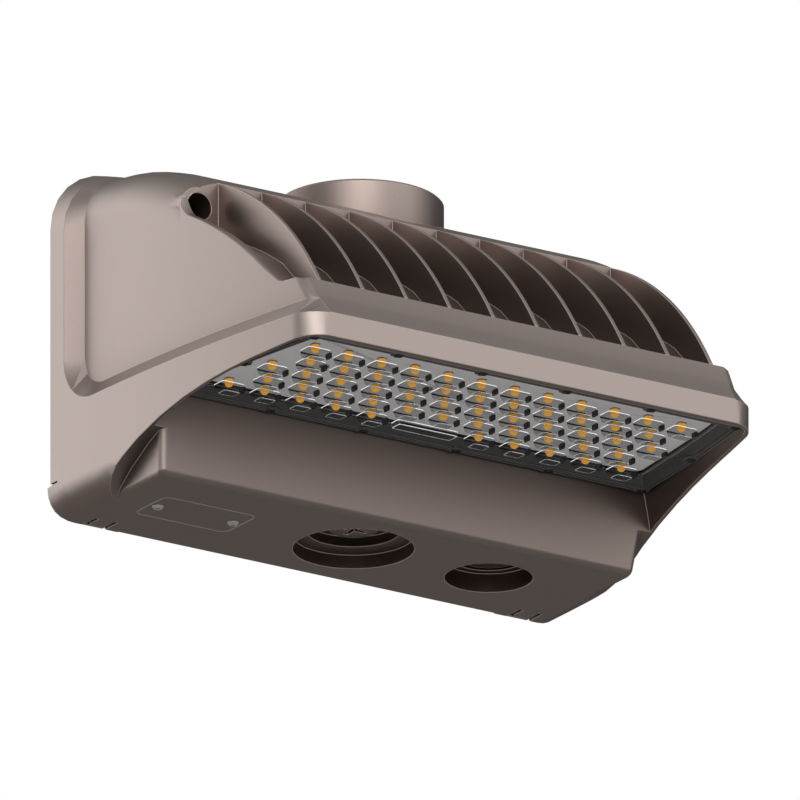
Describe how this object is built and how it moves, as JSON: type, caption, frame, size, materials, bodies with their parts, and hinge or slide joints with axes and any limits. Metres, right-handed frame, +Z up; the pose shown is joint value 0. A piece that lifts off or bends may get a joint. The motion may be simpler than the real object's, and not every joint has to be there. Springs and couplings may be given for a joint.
{
  "type": "outdoor wall pack light",
  "caption": "Outdoor LED wall pack: finned die-cast housing that swings down from its wall plate, downward optic behind skirts, round conduit collar on top and capped entries below.",
  "frame": {"origin": "centre of the wall plate's four-bolt pattern, in the plane of the wall", "axes": "+X along the wall, to the right for someone who faces the light, +Y into the wall, +Z up"},
  "size_m": [0.36, 0.247, 0.2216],
  "materials": {
    "bronze_coat": "bronze powder coat on die-cast aluminium, fine matt grain",
    "zinc_steel": "zinc-plated steel",
    "screw_steel": "bright stainless steel",
    "black_screw": "black oxide steel",
    "seal_rubber": "soft matt black silicone",
    "clear_lens": "clear moulded acrylic, glossy",
    "board": "metal-core board, pale solder mask",
    "chip": "yellow phosphor",
    "driver_case": "plain aluminium case",
    "terminal_plastic": "grey moulded nylon",
    "surge_plastic": "orange moulded plastic",
    "green_screw": "green passivated steel",
    "selector_green": "circuit board, green solder mask",
    "knob_white": "white moulded nylon"
  },
  "bodies": {
    "wall_side": {"wall_plate": "zinc_steel", "plate_nuts": "zinc_steel", "ground_screw": "green_screw", "terminal_block": "terminal_plastic", "terminal_screws": "screw_steel", "hinge_pins": "screw_steel"},
    "light": {"housing": "bronze_coat", "wall_gasket": "seal_rubber", "collar_cover": "bronze_coat", "collar_gasket": "seal_rubber", "collar_screws": "screw_steel", "led_driver": "driver_case", "driver_bracket": "zinc_steel", "driver_screws": "screw_steel", "surge_protector": "surge_plastic", "surge_screws": "screw_steel", "led_board": "board", "led_chips": "chip", "board_screws": "screw_steel", "lead_grommet": "seal_rubber", "optic_plate": "clear_lens", "lens_gasket": "seal_rubber", "lens_screws": "black_screw", "selector_board": "selector_green", "selector_posts": "screw_steel", "small_plug": "bronze_coat"},
    "seal_left": {"tunnel_seal_left": "seal_rubber"},
    "screw_left": {"tunnel_screw_left": "screw_steel"},
    "seal_right": {"tunnel_seal_right": "seal_rubber"},
    "screw_right": {"tunnel_screw_right": "screw_steel"},
    "cover": {"access_cover": "bronze_coat", "access_gasket": "seal_rubber", "access_screws": "screw_steel"},
    "power": {"power_knob": "knob_white"},
    "colour": {"colour_knob": "knob_white"},
    "seal_plug": {"plug_seal": "seal_rubber"},
    "plug": {"entry_plug": "bronze_coat"}
  },
  "joints": [
    {"name": "housing_swing", "type": "hinge", "parent": "wall_side", "child": "light", "pos_m": [0, -0.011, -0.1035], "axis": [1, 0, 0], "range_deg": [0, 80]},
    {"name": "left_screw_travel", "type": "slide", "parent": "light", "child": "seal_left", "axis": [0, 1, 0], "range_m": [0, 0.008]},
    {"name": "left_screw_turn", "type": "hinge", "parent": "seal_left", "child": "screw_left", "pos_m": [-0.1523, -0.053, 0.0544], "axis": [0, 1, 0], "range_deg": [0, 3600]},
    {"name": "right_screw_travel", "type": "slide", "parent": "light", "child": "seal_right", "axis": [0, 1, 0], "range_m": [0, 0.008]},
    {"name": "right_screw_turn", "type": "hinge", "parent": "seal_right", "child": "screw_right", "pos_m": [0.1523, -0.053, 0.0544], "axis": [0, 1, 0], "range_deg": [0, 3600]},
    {"name": "cover_off", "type": "slide", "parent": "light", "child": "cover", "axis": [0, 0, -1], "range_m": [0, 0.025]},
    {"name": "power_select", "type": "slide", "parent": "light", "child": "power", "axis": [1, 0, 0], "range_m": [0, 0.008]},
    {"name": "colour_select", "type": "slide", "parent": "light", "child": "colour", "axis": [1, 0, 0], "range_m": [0, 0.008]},
    {"name": "plug_travel", "type": "slide", "parent": "light", "child": "seal_plug", "axis": [0, 0, -1], "range_m": [0, 0.009]},
    {"name": "plug_turn", "type": "hinge", "parent": "seal_plug", "child": "plug", "pos_m": [0, -0.0535, -0.096], "axis": [0, 0, -1], "range_deg": [0, 1800]}
  ],
  "couplings": [
    {"joint": "left_screw_turn", "follows": "left_screw_travel", "rad_per_m": 7854},
    {"joint": "right_screw_turn", "follows": "right_screw_travel", "rad_per_m": 7854},
    {"joint": "plug_travel", "follows": "plug_turn", "m_per_rad": 0.00028647}
  ]
}
